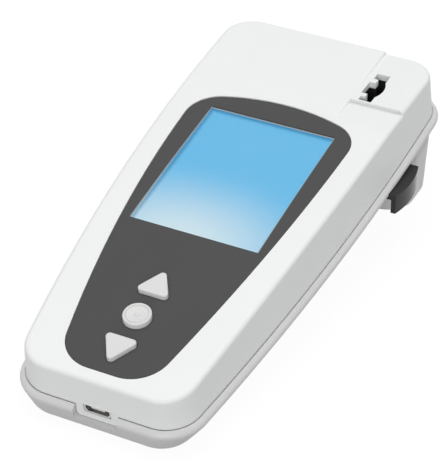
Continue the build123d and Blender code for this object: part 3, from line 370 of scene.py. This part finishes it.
# A grey gasket lines the wall of the panel's opening above the window, and catches the light at
# the screen's rear and left. It is a thin strip of soft rubber that follows the arch of the top.

def begin(name, operator, **settings):
    """Adds a primitive with nothing else selected and opens it for editing, all selected."""
    bpy.ops.object.select_all(action="DESELECT")
    operator(**settings)
    piece = bpy.context.object
    piece.name = name
    piece.data.name = name
    bpy.ops.object.transform_apply(location=True, rotation=True, scale=True)
    bpy.ops.object.mode_set(mode="EDIT")
    bpy.ops.mesh.select_all(action="SELECT")
    return piece


def put(piece, place):
    """Moves a piece to its place, and the place into its mesh."""
    piece.matrix_world = place
    bpy.ops.object.transform_apply(location=True, rotation=True, scale=True)


def close(piece, material, body="casing", place=Matrix(), smooth=35.0):
    """Ends the editing: normals outwards, smooth below an angle, place, material, slot, body."""
    bpy.ops.mesh.select_all(action="SELECT")
    bpy.ops.mesh.remove_doubles(threshold=0.000001)
    bpy.ops.mesh.normals_make_consistent(inside=False)
    bpy.ops.object.mode_set(mode="OBJECT")
    bpy.ops.object.shade_smooth_by_angle(angle=math.radians(smooth))
    put(piece, place)
    piece.data.materials.clear()
    piece.data.materials.append(material)
    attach(piece, body)


# What is modelled square to the seam leans with the casing: its front end is lower.
seam_middle = (0, -0.0559, 0.0177)
casing = Matrix.Translation(seam_middle) @ Matrix.Rotation(casing_lean, 4, "X")
panel_lean = math.radians(1.45)
gasket_half = Vector((0.01908, 0.02523))
gasket_wall = 0.0001
gasket_low, gasket_high = 0.01421, 0.01458
top_radius = 0.903
gasket = begin(
    "window_gasket", bpy.ops.mesh.primitive_plane_add, size=2.0, location=(0, 0, gasket_low))
bpy.ops.transform.resize(value=(*gasket_half, 1.0), center_override=(0, 0, gasket_low))
bpy.ops.mesh.inset(thickness=gasket_wall, depth=0)
bpy.ops.mesh.delete(type="FACE")
bpy.ops.mesh.select_all(action="SELECT")
bpy.ops.mesh.extrude_region_move(
    TRANSFORM_OT_translate={"value": (0, 0, gasket_high - gasket_low)})
bpy.ops.mesh.select_all(action="SELECT")
bpy.ops.mesh.subdivide(number_cuts=11)
mesh = bmesh.from_edit_mesh(gasket.data)
for vertex in mesh.verts:
    vertex.co.z -= vertex.co.y ** 2 / (2 * top_radius)
bmesh.update_edit_mesh(gasket.data)
gasket_grey = moulded(
    "grey gasket rubber", (0.46, 0.48, 0.49), (0.40, 0.42, 0.43), rough=(0.6, 0.7))
close(gasket, gasket_grey,
      place=casing @ Matrix.Rotation(panel_lean, 4, "X"), smooth=20.0)


# The three keys are light grey moulded caps with a satin skin, which press down into the panel.
# The two arrow keys have a plain top.
key_plastic = moulded(
    "key plastic", (0.755, 0.755, 0.75), (0.725, 0.725, 0.72), rough=(0.35, 0.45))
paint(key_plastic, "up_key", "down_key")


# The round key has a flat rim, a shallow dish inside it and a small dimple in the middle that the
# finger finds. Its top leans with the panel, and a flange under the panel keeps it in.

def turned(name, rings, vertices=36):
    """Opens a solid whose round face is drawn out from ring to ring: radius, height, star depth."""
    star_points = 6
    radius, height, _ = rings[0]
    piece = begin(
        name, bpy.ops.mesh.primitive_circle_add, vertices=vertices, radius=radius,
        fill_type="NGON", location=(0, 0, height))
    for wide, high, star in rings[1:]:
        bpy.ops.mesh.extrude_region_move(TRANSFORM_OT_translate={"value": (0, 0, high - height)})
        mesh = bmesh.from_edit_mesh(piece.data)
        for vertex in mesh.verts:
            if vertex.select:
                angle = math.atan2(vertex.co.y, vertex.co.x)
                reach = wide * (1 + star * math.cos(star_points * angle))
                vertex.co.x = reach * math.cos(angle)
                vertex.co.y = reach * math.sin(angle)
        bmesh.update_edit_mesh(piece.data)
        height = high
    return piece


key_top = 0.0127
key_lean = 0.0879
key_middle = -0.0571
foot_low, flange_low, flange_high = 0.00715, 0.00880, 0.00960
foot_and_flange = [
    (0.00140, foot_low), (0.00140, flange_low), (0.00475, flange_low), (0.00475, flange_high)]
wall_and_rim = [
    (0.00385, flange_high), (0.00385, key_top - 0.00040), (0.00382, key_top - 0.00024),
    (0.00374, key_top - 0.00011), (0.00362, key_top - 0.00003), (0.00348, key_top)]
groove = [
    (0.00322, key_top - 0.00001), (0.00315, key_top - 0.00008), (0.00308, key_top - 0.00038),
    (0.00296, key_top - 0.00038), (0.00288, key_top - 0.00026)]
dish_and_dimple = [
    (0.00200, key_top - 0.00034), (0.00110, key_top - 0.00036), (0.00078, key_top - 0.00038),
    (0.00060, key_top - 0.00066), (0.00030, key_top - 0.00074)]
key_rings = foot_and_flange + wall_and_rim + groove + dish_and_dimple
round_key = turned(
    "round_key", [(radius, height, 0) for radius, height in key_rings], vertices=72)
mesh = bmesh.from_edit_mesh(round_key.data)
for vertex in mesh.verts:
    if vertex.co.z > (foot_low + flange_low) / 2:
        vertex.co.z += vertex.co.y * key_lean
bmesh.update_edit_mesh(round_key.data)
close(round_key, key_plastic, body="select_key",
      place=casing @ Matrix.Translation((0, key_middle, 0)))
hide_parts("select_key")


# Each key presses a small push switch on the main board. The switches are moulded in black
# plastic with a dull skin.
switch_plastic = moulded(
    "switch plastic", (0.05, 0.05, 0.05), (0.03, 0.03, 0.03), rough=(0.5, 0.6))
paint(switch_plastic, "key_switches")


# The chute under the sensor slot, the tray that holds the display and the sounder on the main
# board are moulded in black plastic with a matt skin.
inner_black = moulded(
    "inner black plastic", (0.018, 0.018, 0.018), (0.012, 0.012, 0.012), rough=(0.6, 0.75))
paint(inner_black, "sensor_guide", "display_frame", "buzzer")


# The charging socket's tongue is pale plastic. It ends close behind the mouth with a bevelled
# nose, where the light reaches it.
tongue_width = 0.0039
tongue_low, tongue_high = -0.00054, 0.00006
tongue_front, tongue_back = -0.08025, -0.0752
tongue_nose = 0.00012
tongue = begin(
    "socket_tongue", bpy.ops.mesh.primitive_cube_add, size=1.0,
    location=(0, (tongue_front + tongue_back) / 2, (tongue_low + tongue_high) / 2),
    scale=(tongue_width, tongue_back - tongue_front, tongue_high - tongue_low))
bpy.ops.mesh.bevel(offset=tongue_nose, segments=3)
tongue_plastic = moulded(
    "pale grey plastic", (0.72, 0.72, 0.71), (0.68, 0.68, 0.67), rough=(0.4, 0.5))
close(tongue, tongue_plastic, place=casing)
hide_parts("usb_tongue")


# The four circuit boards have a green solder mask over copper tracks, which show through it as
# paler lines that stand a little proud. The gloss of the mask changes from patch to patch.
board_skin = bpy.data.materials.new("circuit board")
link, shader, add = nodes_of(board_skin)
place = add("ShaderNodeTexCoord")
tracks = add("ShaderNodeTexBrick")
tracks.inputs["Scale"].default_value = 260.0
tracks.inputs["Mortar Size"].default_value = 0.03
tracks.inputs["Color1"].default_value = (0.012, 0.10, 0.035, 1)
tracks.inputs["Color2"].default_value = (0.010, 0.08, 0.030, 1)
tracks.inputs["Mortar"].default_value = (0.05, 0.24, 0.09, 1)
patches = add("ShaderNodeTexVoronoi", feature="DISTANCE_TO_EDGE")
patches.inputs["Scale"].default_value = 500.0
raised = add("ShaderNodeBump")
raised.inputs["Distance"].default_value = 0.00003
gloss = add("ShaderNodeMapRange")
gloss.inputs["To Min"].default_value = 0.3
gloss.inputs["To Max"].default_value = 0.5
link(place.outputs["Object"], tracks.inputs["Vector"])
link(place.outputs["Object"], patches.inputs["Vector"])
link(tracks.outputs["Color"], shader.inputs["Base Color"])
link(tracks.outputs["Fac"], raised.inputs["Height"])
link(raised.outputs["Normal"], shader.inputs["Normal"])
link(patches.outputs["Distance"], gloss.inputs["Value"])
link(gloss.outputs["Result"], shader.inputs["Roughness"])
paint(board_skin, "main_board", "usb_board", "light_board", "camera_board")


# The metal parts share one effect: fine lines along one direction that change the gloss and stand
# a little proud. Stretch sets the direction, one value for each axis.
brushing = bpy.data.node_groups.new("brushed lines", "ShaderNodeTree")
socket = brushing.interface.new_socket(
    name="Stretch", in_out="INPUT", socket_type="NodeSocketVector")
socket.default_value = (4000.0, 200.0, 4000.0)
for name, value in (("Rough Low", 0.25), ("Rough High", 0.45)):
    socket = brushing.interface.new_socket(name=name, in_out="INPUT", socket_type="NodeSocketFloat")
    socket.default_value = value
for name in ("Height", "Roughness"):
    brushing.interface.new_socket(name=name, in_out="OUTPUT", socket_type="NodeSocketFloat")
way_in = brushing.nodes.new("NodeGroupInput")
way_out = brushing.nodes.new("NodeGroupOutput")
place = brushing.nodes.new("ShaderNodeTexCoord")
drawn = brushing.nodes.new("ShaderNodeVectorMath")
drawn.operation = "MULTIPLY"
lines = brushing.nodes.new("ShaderNodeTexNoise")
lines.inputs["Scale"].default_value = 1.0
lines.inputs["Detail"].default_value = 3.0
spread = brushing.nodes.new("ShaderNodeMapRange")
link = brushing.links.new
link(place.outputs["Object"], drawn.inputs[0])
link(way_in.outputs["Stretch"], drawn.inputs[1])
link(drawn.outputs["Vector"], lines.inputs["Vector"])
link(lines.outputs["Fac"], spread.inputs["Value"])
link(way_in.outputs["Rough Low"], spread.inputs["To Min"])
link(way_in.outputs["Rough High"], spread.inputs["To Max"])
link(lines.outputs["Fac"], way_out.inputs["Height"])
link(spread.outputs["Result"], way_out.inputs["Roughness"])


def metal(name, colour, stretch, rough=(0.25, 0.45), depth=0.000004):
    """A bare metal with fine lines from its rolling, milling or turning."""
    groove_share = 0.92
    material = bpy.data.materials.new(name)
    link, shader, add = nodes_of(material)
    skin = add("ShaderNodeGroup", node_tree=brushing)
    skin.inputs["Stretch"].default_value = stretch
    skin.inputs["Rough Low"].default_value = rough[0]
    skin.inputs["Rough High"].default_value = rough[1]
    tone = add("ShaderNodeMix", data_type="RGBA")
    tone.inputs["A"].default_value = (*[channel * groove_share for channel in colour], 1)
    tone.inputs["B"].default_value = (*colour, 1)
    bump = add("ShaderNodeBump")
    bump.inputs["Distance"].default_value = depth
    link(skin.outputs["Height"], tone.inputs["Factor"])
    link(tone.outputs["Result"], shader.inputs["Base Color"])
    link(skin.outputs["Roughness"], shader.inputs["Roughness"])
    link(skin.outputs["Height"], bump.inputs["Height"])
    link(bump.outputs["Normal"], shader.inputs["Normal"])
    shader.inputs["Metallic"].default_value = 1.0
    return material


# The charging socket's skin and the processor's shield are tinned sheet steel. The warming plate
# at the chute is milled aluminium, and the lever's pin and the small screws are plated steel.
tinned = metal("tinned steel", (0.70, 0.70, 0.69), (3000.0, 300.0, 3000.0))
paint(tinned, "usb_socket", "processor_shield")
milled = metal("milled aluminium", (0.75, 0.75, 0.77), (400.0, 3000.0, 3000.0))
paint(milled, "heater_plate")
steel = metal("plated steel", (0.62, 0.62, 0.63), (2500.0, 2500.0, 400.0))
paint(steel, "lever_pin", "board_screws", "usb_screws", "guide_screws")


# The rechargeable cell is a flat pack, wrapped in a dark grey shrink film that has faint wrinkles
# where it drew tight.
film = bpy.data.materials.new("shrink film")
link, shader, add = nodes_of(film)
place = add("ShaderNodeTexCoord")
wrinkles = add("ShaderNodeTexNoise")
wrinkles.inputs["Scale"].default_value = 120.0
wrinkles.inputs["Distortion"].default_value = 1.5
tone = add("ShaderNodeMix", data_type="RGBA")
tone.inputs["A"].default_value = (0.10, 0.11, 0.12, 1)
tone.inputs["B"].default_value = (0.16, 0.17, 0.19, 1)
bump = add("ShaderNodeBump")
bump.inputs["Distance"].default_value = 0.0001
shader.inputs["Roughness"].default_value = 0.3
link(place.outputs["Object"], wrinkles.inputs["Vector"])
link(wrinkles.outputs["Fac"], tone.inputs["Factor"])
link(tone.outputs["Result"], shader.inputs["Base Color"])
link(wrinkles.outputs["Fac"], bump.inputs["Height"])
link(bump.outputs["Normal"], shader.inputs["Normal"])
paint(film, "battery")


# Five gold-plated contacts lie side by side on the underside of the charging socket's tongue.
# Each is a flat strip with rounded edges.

def joined(pieces, name):
    """One object from several."""
    bpy.ops.object.select_all(action="DESELECT")
    for piece in pieces:
        piece.select_set(True)
    bpy.context.view_layer.objects.active = pieces[0]
    bpy.ops.object.join()
    pieces[0].name = name
    pieces[0].data.name = name
    return pieces[0]


def row_of(piece, places, name):
    """One object from a piece and copies with their own meshes, one in each place."""
    pieces = [piece]
    for _ in places[1:]:
        twin = piece.copy()
        twin.data = piece.data.copy()
        bpy.context.collection.objects.link(twin)
        pieces.append(twin)
    for each, place in zip(pieces, places):
        bpy.ops.object.select_all(action="DESELECT")
        each.select_set(True)
        put(each, place)
    return joined(pieces, name)


contact_count = 5
contact_pitch = 0.00065
contact_half = Vector((0.0001, 0.0017, 0.00004))
contact_y, contact_z = -0.07763, -0.000577
contact_edge = 0.00002
contact = begin(
    "contact", bpy.ops.mesh.primitive_cube_add, size=2.0, location=(0, contact_y, contact_z),
    scale=contact_half)
bpy.ops.mesh.bevel(offset=contact_edge, segments=2)
bpy.ops.object.mode_set(mode="OBJECT")
contact_places = [
    Matrix.Translation(((number - (contact_count - 1) / 2) * contact_pitch, 0, 0))
    for number in range(contact_count)]
contacts = row_of(contact, contact_places, "socket_contacts")
bpy.ops.object.mode_set(mode="EDIT")
gold = metal("gold plating", (0.83, 0.62, 0.25), (3000.0, 300.0, 3000.0))
close(contacts, gold, place=casing)


# The lever and the plunger are black nylon from a polished tool, so they shine at a low angle.
# The lever turns on a steel pin at its hub and lifts the plunger in the chute.
lever_plastic = moulded(
    "black nylon", (0.042, 0.042, 0.043), (0.036, 0.036, 0.037), rough=(0.14, 0.20),
    depth=0.000003, specular=0.12)
paint(lever_plastic, "eject_lever", "eject_plunger")


# The lever's return spring is wound from steel wire: six turns round the pin and two short legs,
# one that goes up beside the lever's neck and one that goes down beside the lug.
wire_r = 0.00025
coil_r = 0.00145
coil_turns = 6
coil_pitch = 0.00058
coil_steps = 24
leg_length = 0.0022
coil = begin(
    "return_spring", bpy.ops.mesh.primitive_circle_add, vertices=10, radius=wire_r,
    location=(coil_r, 0, 0), rotation=(math.pi / 2, 0, 0))
bpy.ops.object.mode_set(mode="OBJECT")
wind = coil.modifiers.new("wind", "SCREW")
wind.iterations = coil_turns
wind.screw_offset = coil_pitch
wind.steps = coil_steps
wind.render_steps = coil_steps
bpy.ops.object.modifier_apply(modifier=wind.name)
bpy.ops.object.mode_set(mode="EDIT")
near = 0.000001
for height, leg in ((0.0, -leg_length), (coil_turns * coil_pitch, leg_length)):
    bpy.ops.mesh.select_all(action="DESELECT")
    mesh = bmesh.from_edit_mesh(coil.data)
    for vertex in mesh.verts:
        at_end = abs(vertex.co.z - height) <= wire_r + near
        vertex.select = at_end and abs(vertex.co.y) < near and vertex.co.x > 0
    mesh.select_flush(True)
    bmesh.update_edit_mesh(coil.data)
    bpy.ops.mesh.extrude_region_move(TRANSFORM_OT_translate={"value": (0, leg, 0)})
    bpy.ops.mesh.edge_face_add()
front_of_coil = Matrix.Translation((0.0285, -0.0183, 0.01825))
close(coil, steel, place=front_of_coil @ Matrix.Rotation(-math.pi / 2, 4, "X"))
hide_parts("lever_spring")


# Six steel screws close the casing from below. Each has a pan head with a six-lobed recess and a
# coarse thread that cuts its own way into the boss above.
head_r, head_high = 0.0022, 0.0014
head_profile = ((1.0, 0.55), (0.93, 0.85), (0.78, 1.0))
recess_r, recess_deep, lobe = 0.00095, 0.0008, 0.14
recess_profile = ((1.05, -0.000001), (1.0, 0.0001), (0.94, recess_deep))
thread_r, thread_core, thread_pitch = 0.00124, 0.00100, 0.0009
tip_share, tip_high = 0.6, 0.0006


def casing_screw(length):
    """One casing screw: its seat at the origin, its head below and its thread above."""
    height = length - tip_high
    thread = [(thread_core * tip_share, length, 0), (thread_r, height, 0)]
    while height > 2 * thread_pitch:
        height -= thread_pitch / 2
        thread.append((thread_core, height, 0))
        height -= thread_pitch / 2
        thread.append((thread_r, height, 0))
    neck = [(thread_core, height - thread_pitch / 2, 0), (thread_core, 0, 0)]
    head = [(head_r, -0.00001, 0)]
    head += [(head_r * wide, -head_high * high, 0) for wide, high in head_profile]
    recess = [(recess_r * wide, deep - head_high, lobe) for wide, deep in recess_profile]
    screw = turned("casing_screw", thread + neck + head + recess)
    bpy.ops.mesh.normals_make_consistent(inside=False)
    bpy.ops.object.mode_set(mode="OBJECT")
    return screw


shell_places = [
    casing @ Matrix.Translation((x, y, -0.002))
    for x, y in ((-0.0196, -0.066), (-0.0268, 0.016), (0.0196, -0.066), (0.0268, 0.016))]
block_places = [Matrix.Translation((x, 0.0059, 0.016)) for x in (-0.0265, 0.0265)]
screws = joined([
    row_of(casing_screw(length=0.0081), shell_places, "shell_screws"),
    row_of(casing_screw(length=0.0121), block_places, "block_screws")], "star_screws")
bpy.ops.object.mode_set(mode="EDIT")
close(screws, steel)
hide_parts("casing_screws")


# The feet are soft rubber, dull and slightly dusty, and are pressed into pockets in the underside:
# one strip under the rear block and two pads under the front.
rubber = moulded(
    "foot rubber", (0.070, 0.070, 0.072), (0.045, 0.045, 0.047), rough=(0.75, 0.9),
    grain_scale=5000.0, depth=0.00002, specular=0.3)
paint(rubber, "rear_foot", "front_feet")
